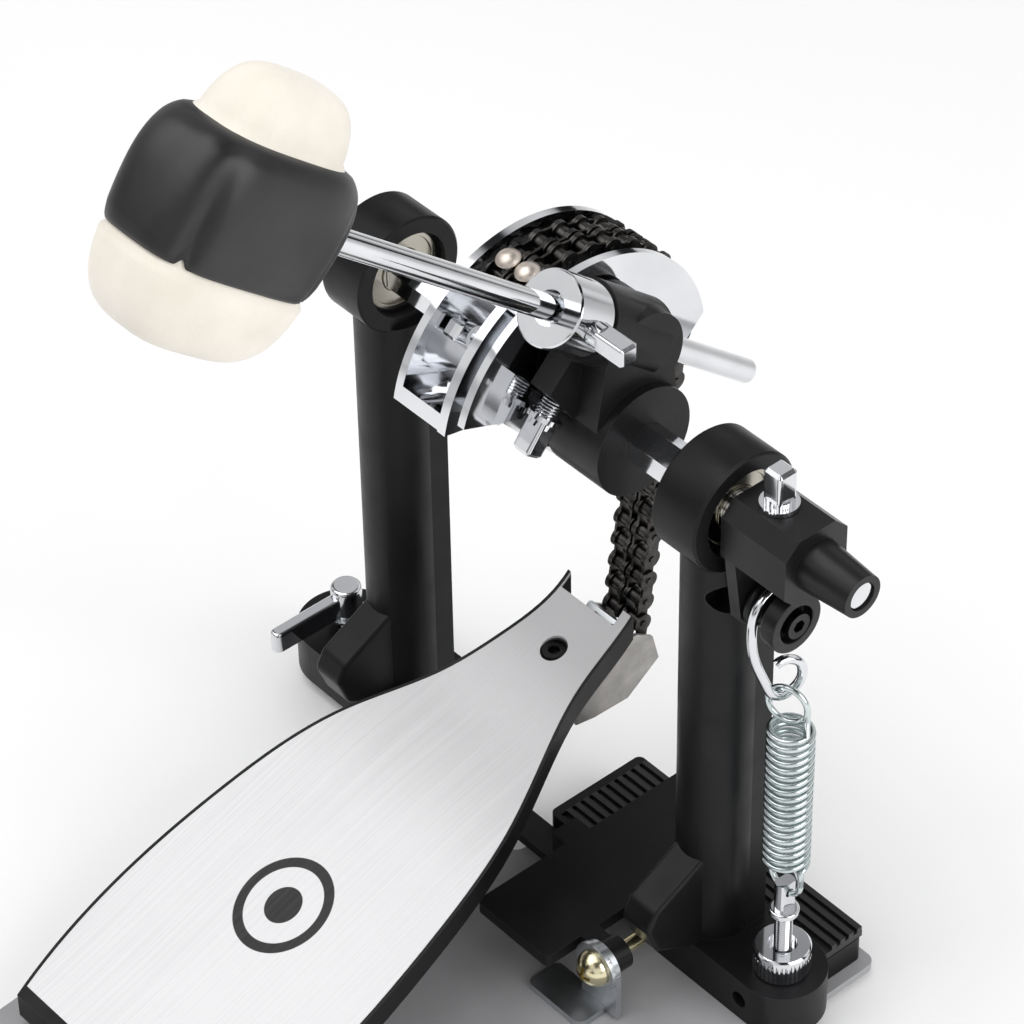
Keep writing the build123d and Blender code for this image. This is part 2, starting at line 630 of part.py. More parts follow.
def eyebolt():
    """Threaded rod with a collar and a flattened eye for the spring's lower loop."""
    screw = Pos(LUG_X, 0, 8.0) * thread(3.0, 39.0, 1.0)
    collar = rod_z(5.0, 46.8, 49.4, LUG_X, 0)
    collar = fillet(collar.edges().filter_by(GeomType.CIRCLE), 0.9)
    stem = rod_z(3.35, 49.0, 61.0, LUG_X, 0)
    eye = stem & box((LUG_X - 2.2, LUG_X + 2.2), (-5, 5), (48, 62))
    return screw + collar + eye - rod_x(1.6, LUG_X - 5, LUG_X + 5, 0, EYE_Z + 0.2)


def thumb_nut():
    """Knurled nut that sets the spring's tension."""
    low, high = LUG_TOP + 0.1, LUG_TOP + 10.6
    nut = rod_z(9.45, low, high, LUG_X, 0)
    nut = chamfer(nut.edges().filter_by(GeomType.CIRCLE), 0.7)
    nut -= rod_z(4.8, high - 3.0, high + 2, LUG_X, 0)
    nut -= rod_z(3.05, 0, 60, LUG_X, 0)
    groove_count = 40
    for i in range(groove_count):
        groove = Rot(0, 0, 360 / groove_count * i) * Pos(9.6, 0, 3.6) * Rot(0, 0, 45) * Box(0.8, 0.8, 8)
        nut -= Pos(LUG_X, 0, LUG_TOP) * groove
    return nut


# ---- hoop clamp ---------------------------------------------------------------------------------


def clamp_lever():
    """Lever from under the clamp handle to the tongue over the hoop pad."""
    tongue = box((27.0, 61.5), (-58.0, 32.0), (23.5, 28.0))
    tongue = fillet(tongue.edges().filter_by(Axis.Z), 2.0)
    riser = box((20.0, 31.0), (-19.0, -8.5), (11.0, 28.0))
    arm = box((-61.0, 31.0), (-19.0, -8.5), (11.0, 14.8)) + box((-LUG_X, -60.0), (-12.4, -4.0), (11.0, 14.8))
    end_pad = rod_z(10.8, 11.0, 14.8, -LUG_X, 0)
    x, z = CLAMP_PIVOT
    ear = box((61.0, x), (-43.2, -36.0), (22.0, 28.0)) + rod_y(6.0, -43.2, -36.0, x, z)
    return tongue + riser + arm + end_pad + ear - rod_y(3.05, -70, 0, x, z)


def pivot_bracket():
    """Zinc-plated angle that carries the clamp lever's pivot screw."""
    foot = box((50.0, 76.0), (-57.0, -43.4), (PLATE_TOP + FIT_GAP, PLATE_TOP + 2.6))
    foot = fillet(foot.edges().filter_by(Axis.Z), 3.0)
    tab = box((64.5, 81.0), (-45.6, -43.4), (PLATE_TOP + 1, 25.0)) + rod_y(8.2, -45.6, -43.4, *CLAMP_PIVOT)
    return foot + tab - rod_y(3.1, -70, 0, *CLAMP_PIVOT)


def pivot_washer():
    x, z = CLAMP_PIVOT
    return rod_y(9.0, -47.4, -45.7, x, z) - rod_y(3.1, -70, 0, x, z)


def pivot_screw():
    x, z = CLAMP_PIVOT
    shank = rod_y(3.0, -47.6, -35.2, x, z) + rod_y(2.5, -36, -4.5, x, z)
    head = Pos(x, -46.5, z) * Sphere(6.6) & box((x - 9, x + 9), (-60, -47.5), (z - 9, z + 9))
    recess = box((x - 3.2, x + 3.2), (-60, -50.8), (z - 0.7, z + 0.7))
    recess += box((x - 0.7, x + 0.7), (-60, -50.8), (z - 3.2, z + 3.2))
    return shank + head + rod_y(6.0, -48.2, -47.45, x, z) - recess


def clamp_washer():
    return rod_z(7.0, LUG_TOP + 4.2, LUG_TOP + 5.6, -LUG_X, 0) - rod_z(3.1, 0, 60, -LUG_X, 0)


def clamp_handle():
    """Screw with a paddle handle that presses the clamp lever's end down."""
    screw = Pos(-LUG_X, 0, 15.0) * thread(3.0, 14.0, 1.0)
    cap = rod_z(5.6, LUG_TOP + 5.7, LUG_TOP + 17.6, -LUG_X, 0)
    cap = fillet(cap.edges().filter_by(GeomType.CIRCLE).sort_by(Axis.Z)[-1], 1.4)
    paddle = box((-LUG_X - 2.6, -LUG_X + 2.6), (-33.0, 0), (LUG_TOP + 6.6, LUG_TOP + 14.6))
    paddle = fillet(paddle.edges().filter_by(Axis.Z).group_by(Axis.Y)[0], 2.2)
    paddle = fillet(paddle.faces().sort_by(Axis.Z)[-1].edges(), 1.2)
    return screw + cap + paddle


# ---- heel ---------------------------------------------------------------------------------------


def heel_plate():
    """Cast heel rest with two ears for the hinge pin."""
    foot = PLATE_TOP + FIT_GAP
    block = box((-44, 44), (-278, -206), (foot, 14.0))
    block = fillet(block.edges().filter_by(Axis.Z), 9)
    block = chamfer(block.faces().sort_by(Axis.Z)[-1].edges(), 1.5)
    for side in (-1, 1):
        low, high = sorted((side * 21.0, side * 30.0))
        block += box((low, high), (-210, HEEL_Y), (foot, HEEL_Z)) + rod_x(6.0, low, high, HEEL_Y, HEEL_Z)
    block -= rod_x(3.05, -60, 60, HEEL_Y, HEEL_Z)
    return block - screw_holes(1, -300, -200) - screw_holes(-1, -300, -200)


def heel_hinge_pin():
    return rod_x(3.0, -32.0, 32.0, HEEL_Y, HEEL_Z)


# ---- footboard ----------------------------------------------------------------------------------
BOARD_TOP = [(-190, 18.9), (-138.7, 36.3), (-95, 53.0), (-56.2, 65.6), (-27.1, 73.6), (-7.4, 82.4),
             (14.1, 91.9), (20.5, 97.0)]                                      # (y, z) of its upper face
BOARD_WIDTH = [(46.5, -190), (51.5, -170), (53.9, -135), (50.8, -100), (40.8, -56.2), (33.5, -40),
               (22.2, -15), (17.5, 3.2), (16.0, 20.5)]                        # (half width, y)
BOARD_DEPTH = 9.5
WALL = 3.5
SKIN = 3.0
COVER_T = 1.2
COVER_START = -186.0
NOTCH = ((-14.5, 11.0), (16.0, 40))
SCREW_SEAT = 80.5


def board_outline(inset):
    """The footboard's plan outline, drawn in by inset, as a tall prism."""
    right = [(w - inset, y) for w, y in BOARD_WIDTH]
    left = [(-x, y) for x, y in reversed(right)]
    edges = [Spline(*right), Line(right[-1], left[0]), Spline(*left), Line(left[-1], right[0])]
    return extrude(make_face(edges), amount=150, dir=(0, 0, 1))


def board_layer(top_drop, bottom_drop):
    """The layer between two depths below the footboard's curved top."""
    top = [(y, z - top_drop) for y, z in BOARD_TOP]
    bottom = [(y, z - bottom_drop) for y, z in reversed(BOARD_TOP)]
    edges = [Spline(*top), Line(top[-1], bottom[0]), Spline(*bottom), Line(bottom[-1], top[0])]
    face = make_face([Plane.YZ.offset(-70) * edge for edge in edges])
    return extrude(face, amount=140, dir=(1, 0, 0))


def footboard():
    """Cast board, hollow below, with a recess for the cover and the hinge barrel at the heel."""
    board = board_outline(0) & board_layer(0, BOARD_DEPTH)
    board -= board_outline(1.2) & board_layer(-3, COVER_T) & box((-60, 60), (COVER_START, 60), (0, 120))
    hollow = board_outline(WALL) & board_layer(COVER_T + SKIN, BOARD_DEPTH + 3)
    board -= hollow & box((-60, 60), (-184, -24), (0, 120))
    board -= box(*NOTCH, (60, 120))
    board += rod_x(6.0, -20.0, 20.0, HEEL_Y, HEEL_Z)
    board += side_plate([(HEEL_Y, HEEL_Z + 5.9), (HEEL_Y, HEEL_Z - 3), (-187, 10.2), (-187, 18.4)], -20, 20)
    board -= rod_x(3.05, -60, 60, HEEL_Y, HEEL_Z)
    board -= rod_z(4.2, SCREW_SEAT, 120, 0, 0)
    return board - rod_z(2.2, 60, 120, 0, 0)


def footboard_plate():
    """Brushed aluminium cover let into the board's top."""
    cover = board_outline(1.2 + FIT_GAP) & board_layer(0, COVER_T - FIT_GAP)
    cover = cover & box((-60, 60), (COVER_START + FIT_GAP, 60), (0, 120))
    cover -= box(*NOTCH, (60, 120))
    return cover - rod_z(4.6, 60, 120, 0, 0)


def toe_bracket():
    """Cast bracket under the toe with a pocket for the end of the chain."""
    outline = [(0, 76.2), (0, 58), (8, 56.5), (23, 56), (36.8, 66), (34, 77), (27, 82.0), (15.5, 82.0)]
    block = side_plate(outline, -10.8, 10.8)
    below_board = board_layer(BOARD_DEPTH + FIT_GAP, 60)
    rear = block & box((-20, 20), (-10, 15.9), (0, 120)) & below_board
    block = rear + (block & box((-20, 20), (15.9, 60), (0, 120)))
    block -= box((-9.6, 9.6), (25.3, 60), (66.0, 100))
    block -= box((-9.35, 9.35), (16.9, 26), (71.95, 100))
    return block - rod_z(2.2, 60.5, 90, 0, 0)


def bracket_screw():
    """Socket screw through the footboard into the toe bracket."""
    head = rod_z(4.0, SCREW_SEAT + FIT_GAP, 84.6, 0, 0) - rod_z(2.0, 82.4, 90, 0, 0)
    return head + rod_z(2.15, 61.0, SCREW_SEAT + 0.1, 0, 0)


def connector_block():
    """Steel block at the chain's end, set in the footboard's notch."""
    outline = [(17.0, 72.0), (25.2, 72.0), (25.2, 84.8), (23.8, 85.6), (18.2, 81.5), (17.0, 80.6)]
    block = side_plate(outline, -9.3, 9.3)
    for x in (-4.2, 4.2):
        block -= aimed(Cylinder(2.0, 6.0), (x, 21.0, 83.5), (0, -0.59, 0.807))
    return block


# ---- chain --------------------------------------------------------------------------------------
PIN_STEP = degrees(2 * asin(CHAIN_PITCH / 2 / CHAIN_R))
RIVET_LINK = 10
RIVET = radians(FIRST_PIN_DEG + (RIVET_LINK + 0.5) * PIN_STEP)
PIN_R = 1.15
PIN_REACH = 8.7            # chain pins, from the chain's middle
END_PIN_REACH = 9.3        # the last pin
ROLLER_R = 2.5
EYE_R = 3.5


def cam_pin(index):
    """(y, z) of a chain pin on the cam; pin 0 is where the hanging run starts."""
    angle = radians(FIRST_PIN_DEG + index * PIN_STEP)
    return (CHAIN_R * cos(angle), SHAFT_Z + CHAIN_R * sin(angle))


def run_pin(index):
    """(y, z) of a pin of the hanging run, counted down from pin 0."""
    y, z = cam_pin(0)
    lean = radians(CHAIN_LEAN_DEG)
    return (y - index * CHAIN_PITCH * sin(lean), z - index * CHAIN_PITCH * cos(lean))


def link_plate(a, b, x0, x1):
    """Waisted link plate between two pins."""
    along = ((b[0] - a[0]) / CHAIN_PITCH, (b[1] - a[1]) / CHAIN_PITCH)
    waist = 2.2
    across = (-along[1] * waist, along[0] * waist)
    bar = side_plate([(a[0] + across[0], a[1] + across[1]), (b[0] + across[0], b[1] + across[1]),
                      (b[0] - across[0], b[1] - across[1]), (a[0] - across[0], a[1] - across[1])], x0, x1)
    return bar + rod_x(EYE_R, x0, x1, *a) + rod_x(EYE_R, x0, x1, *b)


def outer_link(a, b, reach=PIN_REACH):
    """Outer plates of both strands, riveted on two pins; reach is the far pin's half length."""
    link = rod_x(PIN_R, -PIN_REACH, PIN_REACH, *a) + rod_x(PIN_R, -reach, reach, *b)
    for strand in (-STRAND_X, STRAND_X):
        for low in (-3.0 - PLATE_T, 3.0):
            link += link_plate(a, b, strand + low, strand + low + PLATE_T)
    return link


def inner_links(a, b):
    """Inner plates with their bushes and rollers, one piece per strand."""
    links = []
    for strand in (-STRAND_X, STRAND_X):
        low_x, high_x = strand - 2.1, strand + 2.1
        link = rod_x(ROLLER_R, low_x, high_x, *a) + rod_x(ROLLER_R, low_x, high_x, *b)
        for low in (-2.05 - PLATE_T, 2.05):
            link += link_plate(a, b, strand + low, strand + low + PLATE_T)
        for pin in (a, b):
            link -= rod_x(PIN_R + FIT_GAP, -20, 20, *pin)
        links.append(link)
    return links


def chain_piece(pins, first_is_outer):
    """The links between the given pins, alternately outer and inner."""
    pieces = []
    for i in range(len(pins) - 1):
        if (i % 2 == 0) == first_is_outer:
            pieces.append(outer_link(pins[i], pins[i + 1]))
        else:
            pieces.extend(inner_links(pins[i], pins[i + 1]))
    return solids(*pieces)


def chain_on_cam():
    pins = [cam_pin(HINGED_LINKS + i) for i in range(CAM_LINKS + 1)]
    return chain_piece(pins, first_is_outer=True)


def chain_link(index):
    """One link that lifts off the cam; link 1 is next to the hanging run."""
    pins = [cam_pin(index - 1), cam_pin(index)]
    return chain_piece(pins, first_is_outer=index % 2 == 1)


def chain_run():
    """The hanging run; its last pin is longer and sits in the toe bracket's pocket."""
    pins = [run_pin(i) for i in range(HANGING_LINKS + 1)]
    run = chain_piece(pins[:-1], first_is_outer=False)
    return solids(run, outer_link(pins[-2], pins[-1], END_PIN_REACH))


def chain_rivets():
    """Domed rivets that fix the chain's end to the cam."""
    rivets = []
    for x in (-STRAND_X, STRAND_X):
        stem = Pos(0, 0, -9.0) * Cylinder(1.6, 18.4)
        dome = Pos(0, 0, -2.6) * Sphere(4.9) & Pos(0, 0, 5) * Box(12, 12, 10)
        seat = CHAIN_R + EYE_R + 0.08
        place = (x, seat * cos(RIVET), SHAFT_Z + seat * sin(RIVET))
        rivets.append(aimed(stem + dome, place, (0, cos(RIVET), sin(RIVET))))
    return solids(*rivets)


# ---- write --------------------------------------------------------------------------------------
PARTS = {
    "base_plate": base_plate, "base_feet": base_feet, "left_post": left_post, "right_post": right_post,
    "hoop_pad": hoop_pad, "plate_screws": plate_screws, "bearing_outer_rings": bearing_outer_rings,
    "bearing_inner_rings": bearing_inner_rings, "bearing_shields": bearing_shields,
    "bearing_balls": bearing_balls, "bearing_cages": bearing_cages, "hex_shaft": hex_shaft,
    "retaining_ring": retaining_ring, "cam_wheel": cam_wheel, "cam_clamp_bolt": cam_clamp_bolt,
    "beater_hub": beater_hub, "hub_clamp_bolt": hub_clamp_bolt, "rod_bushing": rod_bushing,
    "rod_lock_screw": rod_lock_screw, "beater_rod": beater_rod, "beater_core": beater_core,
    "beater_band": beater_band, "rocker_arm": rocker_arm, "rocker_clamp_bolt": rocker_clamp_bolt,
    "spring_roller": spring_roller, "roller_screw": roller_screw, "stirrup": stirrup, "spring": spring,
    "eyebolt": eyebolt, "thumb_nut": thumb_nut, "clamp_lever": clamp_lever,
    "pivot_bracket": pivot_bracket, "pivot_washer": pivot_washer, "pivot_screw": pivot_screw,
    "clamp_washer": clamp_washer, "clamp_handle": clamp_handle, "heel_plate": heel_plate,
    "heel_hinge_pin": heel_hinge_pin, "footboard": footboard, "footboard_plate": footboard_plate,
    "toe_bracket": toe_bracket, "bracket_screw": bracket_screw, "connector_block": connector_block,
    "chain_on_cam": chain_on_cam, "chain_run": chain_run, "chain_rivets": chain_rivets,
}

os.makedirs("parts", exist_ok=True)
for name, make in PARTS.items():
    export_step(make(), f"parts/{name}.step")
for link_index in range(1, HINGED_LINKS + 1):
    export_step(chain_link(link_index), f"parts/chain_link_{link_index}.step")
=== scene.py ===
"""Looks of the bass drum pedal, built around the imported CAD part. Lengths are in metres."""

import json
from math import cos, exp, pi, radians, sin, sqrt

import bpy
from mathutils import Matrix, Vector

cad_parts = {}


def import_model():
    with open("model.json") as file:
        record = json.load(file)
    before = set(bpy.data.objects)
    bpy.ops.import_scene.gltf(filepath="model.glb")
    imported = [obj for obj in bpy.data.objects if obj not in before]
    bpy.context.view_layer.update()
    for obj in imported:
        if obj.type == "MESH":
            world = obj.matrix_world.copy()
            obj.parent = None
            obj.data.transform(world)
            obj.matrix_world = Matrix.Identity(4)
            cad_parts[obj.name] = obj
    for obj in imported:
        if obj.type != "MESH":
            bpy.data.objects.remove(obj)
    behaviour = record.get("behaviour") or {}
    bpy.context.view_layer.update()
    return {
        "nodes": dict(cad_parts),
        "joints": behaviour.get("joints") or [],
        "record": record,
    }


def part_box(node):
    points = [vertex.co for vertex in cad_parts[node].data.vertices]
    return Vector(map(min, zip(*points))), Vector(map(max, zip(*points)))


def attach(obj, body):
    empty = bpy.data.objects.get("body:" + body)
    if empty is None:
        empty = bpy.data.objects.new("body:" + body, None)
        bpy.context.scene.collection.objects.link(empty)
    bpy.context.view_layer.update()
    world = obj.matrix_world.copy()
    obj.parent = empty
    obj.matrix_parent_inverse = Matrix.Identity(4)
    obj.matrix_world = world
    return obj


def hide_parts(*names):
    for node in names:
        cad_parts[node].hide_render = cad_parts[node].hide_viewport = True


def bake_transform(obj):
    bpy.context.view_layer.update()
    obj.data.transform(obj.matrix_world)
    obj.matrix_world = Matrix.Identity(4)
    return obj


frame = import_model()

MM = 0.001
NODES = frame["nodes"]
JOINTS = {joint["name"]: joint for joint in frame["joints"]}
SLOT_OF = {part["node"]: part["material_slot"] for part in frame["record"]["subparts"]}


# ---- node materials ------------------------------------------------------------------------------


class Look:
    """A node material under construction."""

    def __init__(self, name):
        self.material = bpy.data.materials.new(name)
        self.material.use_nodes = True
        self.tree = self.material.node_tree
        self.shader = self.tree.nodes["Principled BSDF"]
        self.place = self.node("ShaderNodeTexCoord").outputs["Object"]

    def node(self, kind, **settings):
        made = self.tree.nodes.new(kind)
        for key, value in settings.items():
            setattr(made, key, value)
        return made

    def link(self, output, target):
        self.tree.links.new(output, target)

    def set(self, **values):
        for key, value in values.items():
            self.shader.inputs[key.replace("_", " ")].default_value = value

    def noise(self, scale, detail=4.0, stretch=(1, 1, 1), rough=0.5):
        """Noise over the object; stretch squeezes it along each axis."""
        mapping = self.node("ShaderNodeMapping")
        mapping.inputs["Scale"].default_value = stretch
        self.link(self.place, mapping.inputs["Vector"])
        noise = self.node("ShaderNodeTexNoise")
        noise.inputs["Scale"].default_value = scale
        noise.inputs["Detail"].default_value = detail
        noise.inputs["Roughness"].default_value = rough
        self.link(mapping.outputs["Vector"], noise.inputs["Vector"])
        return noise.outputs["Fac"]

    def spread(self, value, low, high, start=0.3, end=0.7):
        """Maps a 0 to 1 value onto low to high."""
        remap = self.node("ShaderNodeMapRange")
        for key, number in (("From Min", start), ("From Max", end), ("To Min", low), ("To Max", high)):
            remap.inputs[key].default_value = number
        self.link(value, remap.inputs["Value"])
        return remap.outputs["Result"]

    def mix(self, factor, a, b):
        """Blends two colours, each given as a tuple or as an output."""
        blend = self.node("ShaderNodeMix", data_type="RGBA")
        self.link(factor, blend.inputs[0])
        for socket, colour in ((blend.inputs[6], a), (blend.inputs[7], b)):
            if isinstance(colour, tuple):
                socket.default_value = colour + (1.0,)
            else:
                self.link(colour, socket)
        return blend.outputs[2]

    def colour(self, output):
        self.link(output, self.shader.inputs["Base Color"])

    def roughness(self, output):
        self.link(output, self.shader.inputs["Roughness"])

    def bump(self, height, distance, strength=1.0):
        bump = self.node("ShaderNodeBump")
        bump.inputs["Distance"].default_value = distance
        bump.inputs["Strength"].default_value = strength
        self.link(height, bump.inputs["Height"])
        self.link(bump.outputs["Normal"], self.shader.inputs["Normal"])

    def edges(self, reach=0.0006):
        """1 on sharp edges, where a finish wears first: there a rounded normal leaves the true one."""
        rounded = self.node("ShaderNodeBevel", samples=4)
        rounded.inputs["Radius"].default_value = reach
        agreement = self.node("ShaderNodeVectorMath", operation="DOT_PRODUCT")
        self.link(rounded.outputs["Normal"], agreement.inputs[0])
        self.link(self.node("ShaderNodeNewGeometry").outputs["Normal"], agreement.inputs[1])
        return self.spread(agreement.outputs["Value"], 0.6, 0.0, 0.80, 0.97)


def coated(name, dark, light, rough, grain=900.0, depth=0.00006, wear=(0.03, 0.03, 0.03), gloss=0.3):
    """Paint, moulding or powder coat: mottled colour, fine grain and lighter worn edges."""
    look = Look(name)
    base = look.mix(look.spread(look.noise(26.0), 0.0, 1.0), dark, light)
    look.colour(look.mix(look.edges(), base, wear))
    look.roughness(look.spread(look.noise(70.0), rough - 0.07, rough + 0.09))
    look.bump(look.noise(grain, 6.0), depth, 0.55)
    look.set(Specular_IOR_Level=gloss)
    return look


def metal(name, dark, light, low, high, stretch=(1, 1, 1), scale=60.0, grain=700.0, depth=0.00001):
    """Bare or plated metal with smudges in its polish and fine grain."""
    look = Look(name)
    look.set(Metallic=1.0)
    look.colour(look.mix(look.spread(look.noise(scale, 5.0, stretch), 0.0, 1.0), dark, light))
    look.roughness(look.spread(look.noise(scale * 0.7, 6.0, stretch), low, high))
    look.bump(look.noise(grain, 4.0, stretch), depth, 0.5)
    return look


COVER_METALLIC = 0.25
BADGE_FROM_HEEL = 70 * MM
BADGE_R = 16.5 * MM
BADGE_BAND = 3.4 * MM
BADGE_DOT_R = 6.2 * MM
BADGE_SOFT_EDGE = 0.2 * MM
PAINTED_TOE_SHADE_LENGTH = 100 * MM        # painted shade darkens the cover over this length, up to its toe end


def brushed_cover():
    """Aluminium brushed along the board, with a plain printed ring and dot, and painted shade darkening it
    towards its toe.
    """
    look = Look("brushed_cover")
    lines = look.noise(1100.0, 3.0, (1.0, 0.010, 0.02))
    cloud = look.noise(22.0, 4.0)
    fine = look.mix(look.spread(lines, 0.0, 1.0, 0.35, 0.65), (0.63, 0.63, 0.64), (0.74, 0.74, 0.75))
    cover_colour = look.mix(look.spread(cloud, 0.0, 0.35), fine, (0.78, 0.78, 0.79))
    look.set(Metallic=COVER_METALLIC)
    look.roughness(look.spread(lines, 0.42, 0.58, 0.35, 0.65))
    look.bump(lines, 0.000015, 0.5)
    low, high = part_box("footboard_plate")
    centre = ((low.x + high.x) / 2, low.y + BADGE_FROM_HEEL)
    separate = look.node("ShaderNodeSeparateXYZ")
    look.link(look.place, separate.inputs[0])
    flat = look.node("ShaderNodeCombineXYZ")
    for axis, middle in zip("XY", centre):
        shift = look.node("ShaderNodeMath", operation="SUBTRACT")
        look.link(separate.outputs[axis], shift.inputs[0])
        shift.inputs[1].default_value = middle
        look.link(shift.outputs[0], flat.inputs[axis])
    length = look.node("ShaderNodeVectorMath", operation="LENGTH")
    look.link(flat.outputs[0], length.inputs[0])
    radius = length.outputs["Value"]
    hollow_r = BADGE_R - BADGE_BAND
    ring_out = look.spread(radius, 1.0, 0.0, BADGE_R, BADGE_R + BADGE_SOFT_EDGE)
    ring_in = look.spread(radius, 0.0, 1.0, hollow_r, hollow_r + BADGE_SOFT_EDGE)
    dot = look.spread(radius, 1.0, 0.0, BADGE_DOT_R, BADGE_DOT_R + BADGE_SOFT_EDGE)
    ring = look.node("ShaderNodeMath", operation="MULTIPLY")
    look.link(ring_out, ring.inputs[0])
    look.link(ring_in, ring.inputs[1])
    print_mask = look.node("ShaderNodeMath", operation="MAXIMUM")
    look.link(ring.outputs[0], print_mask.inputs[0])
    look.link(dot, print_mask.inputs[1])
    mask = print_mask.outputs[0]
    # painted shade: the cover's colour darkens towards its toe end, where less light falls on it
    painted_toe_shade = look.spread(separate.outputs["Y"], 0.0, 0.8, high.y - PAINTED_TOE_SHADE_LENGTH, high.y)
    cover_colour = look.mix(painted_toe_shade, cover_colour, (0.40, 0.39, 0.40))
    look.colour(look.mix(mask, cover_colour, (0.006, 0.006, 0.007)))
    look.link(look.spread(mask, COVER_METALLIC, 0.0, 0.0, 1.0), look.shader.inputs["Metallic"])
    return look


def felt():
    """Hard cream felt: matted fibres and faint grey handling marks."""
    look = Look("felt")
    base = look.mix(look.spread(look.noise(55.0, 6.0), 0.0, 1.0), (0.76, 0.71, 0.62), (0.84, 0.79, 0.71))
    look.colour(look.mix(look.spread(look.noise(12.0), 0.0, 0.35, 0.55, 0.8), base, (0.68, 0.63, 0.55)))
    look.set(Sheen_Weight=0.35, Sheen_Roughness=0.6)
    look.roughness(look.spread(look.noise(90.0), 0.85, 0.98))
    look.bump(look.noise(1300.0, 8.0, rough=0.7), 0.00018, 0.8)
    return look


LOOKS = {
    "base_grey": coated("base_grey", (0.30, 0.30, 0.31), (0.37, 0.37, 0.38), 0.42, wear=(0.55, 0.55, 0.55)),
    "black_cast": coated("black_cast", (0.0045, 0.0045, 0.005), (0.009, 0.009, 0.010), 0.37, gloss=0.2),
    "rubber_black": coated("rubber_black", (0.007, 0.007, 0.008), (0.016, 0.016, 0.017), 0.40, grain=420.0,
                           depth=0.00005, wear=(0.02, 0.02, 0.02), gloss=0.5),
    "black_plastic": coated("black_plastic", (0.006, 0.006, 0.0065), (0.011, 0.011, 0.012), 0.34,
                            depth=0.00003, gloss=0.28),
    "black_steel": metal("black_steel", (0.02, 0.02, 0.02), (0.05, 0.05, 0.05), 0.28, 0.45),
    "bright_zinc": metal("bright_zinc", (0.46, 0.48, 0.50), (0.62, 0.64, 0.66), 0.22, 0.38),
    "spring_zinc": metal("spring_zinc", (0.50, 0.57, 0.57), (0.68, 0.74, 0.74), 0.16, 0.28),
    "bearing_steel": metal("bearing_steel", (0.40, 0.38, 0.33), (0.54, 0.51, 0.44), 0.14, 0.24,
                           depth=0.000003),
    "cage_brass": metal("cage_brass", (0.50, 0.38, 0.18), (0.66, 0.54, 0.32), 0.25, 0.40),
    "chrome": metal("chrome", (0.66, 0.67, 0.69), (0.78, 0.79, 0.81), 0.05, 0.12, scale=35.0, depth=0.000004),
    "chain_dark": metal("chain_dark", (0.030, 0.028, 0.027), (0.085, 0.080, 0.076), 0.22, 0.42, scale=240.0),
    "rivet_nickel": metal("rivet_nickel", (0.60, 0.52, 0.46), (0.76, 0.69, 0.62), 0.36, 0.46),
    "yellow_zinc": metal("yellow_zinc", (0.66, 0.58, 0.34), (0.82, 0.76, 0.54), 0.16, 0.30),
    "grey_cast": metal("grey_cast", (0.34, 0.33, 0.32), (0.50, 0.48, 0.46), 0.36, 0.55, scale=120.0,
                       grain=520.0, depth=0.00012),
    "brushed_alu": brushed_cover(),
    "felt": felt(),
}


# ---- finish of the CAD pieces ----------------------------------------------------------------------

SOFT_EDGE = {"black_cast": 0.8 * MM, "black_plastic": 0.5 * MM, "grey_cast": 0.6 * MM, "base_grey": 0.5 * MM,
             "rubber_black": 0.35 * MM, "chrome": 0.4 * MM}
THIN_EDGE = 0.12 * MM
WELD_DISTANCE = 0.002 * MM
BEVEL_ANGLE = radians(38)          # edges sharper than this are rounded
CRISP_ANGLE = radians(34)          # edges sharper than this, after rounding, are shaded as edges


def dress(node, piece):
    """Material and softly rounded edges for a CAD piece; its mesh stays as packed."""
    slot = SLOT_OF[node]
    piece.data.materials.clear()
    piece.data.materials.append(LOOKS[slot].material)
    weld = piece.modifiers.new("weld", "WELD")
    weld.merge_threshold = WELD_DISTANCE
    bevel = piece.modifiers.new("edges", "BEVEL")
    bevel.width = SOFT_EDGE.get(slot, THIN_EDGE)
    bevel.segments = 2
    bevel.limit_method = "ANGLE"
    bevel.angle_limit = BEVEL_ANGLE
    bevel.use_clamp_overlap = True
    crisp = piece.modifiers.new("crisp", "EDGE_SPLIT")
    crisp.split_angle = CRISP_ANGLE
    crisp.use_edge_sharp = False
    smooth = piece.modifiers.new("shading", "WEIGHTED_NORMAL")
    smooth.keep_sharp = True


for node_name, node_object in NODES.items():
    dress(node_name, node_object)


# ---- mesh helpers ----------------------------------------------------------------------------------


def new_piece(name, vertices, faces, slot, body):
    mesh = bpy.data.meshes.new(name)
    mesh.from_pydata([tuple(v) for v in vertices], [], faces)
    mesh.update()
    for polygon in mesh.polygons:
        polygon.use_smooth = True
    mesh.materials.append(LOOKS[slot].material)
    piece = bpy.data.objects.new(name, mesh)
    bpy.context.scene.collection.objects.link(piece)
    if body:
        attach(piece, body)
    return piece


def ring_faces(rings, around):
    """Quads between successive rings of vertices."""
    faces = []
    for i in range(rings - 1):
        for j in range(around):
            beside = (j + 1) % around
            row, next_row = i * around, (i + 1) * around
            faces.append((row + j, row + beside, next_row + beside, next_row + j))
    return faces


def tube(path, radius, sides=14):
    """Round wire along a list of points, with flat ends."""
    vertices = []
    normal = Vector((0, 0, 1))
    for i, point in enumerate(path):
        tangent = (path[min(i + 1, len(path) - 1)] - path[max(i - 1, 0)]).normalized()
        normal = (normal - tangent * normal.dot(tangent))
        if normal.length < 1e-6:
            normal = tangent.orthogonal()
        normal.normalize()
        side = tangent.cross(normal)
        for k in range(sides):
            angle = 2 * pi * k / sides
            vertices.append(point + normal * (radius * cos(angle)) + side * (radius * sin(angle)))
    faces = ring_faces(len(path), sides)
    faces.append(tuple(reversed(range(sides))))
    faces.append(tuple(range((len(path) - 1) * sides, len(path) * sides)))
    return vertices, faces


# ---- beater head -----------------------------------------------------------------------------------

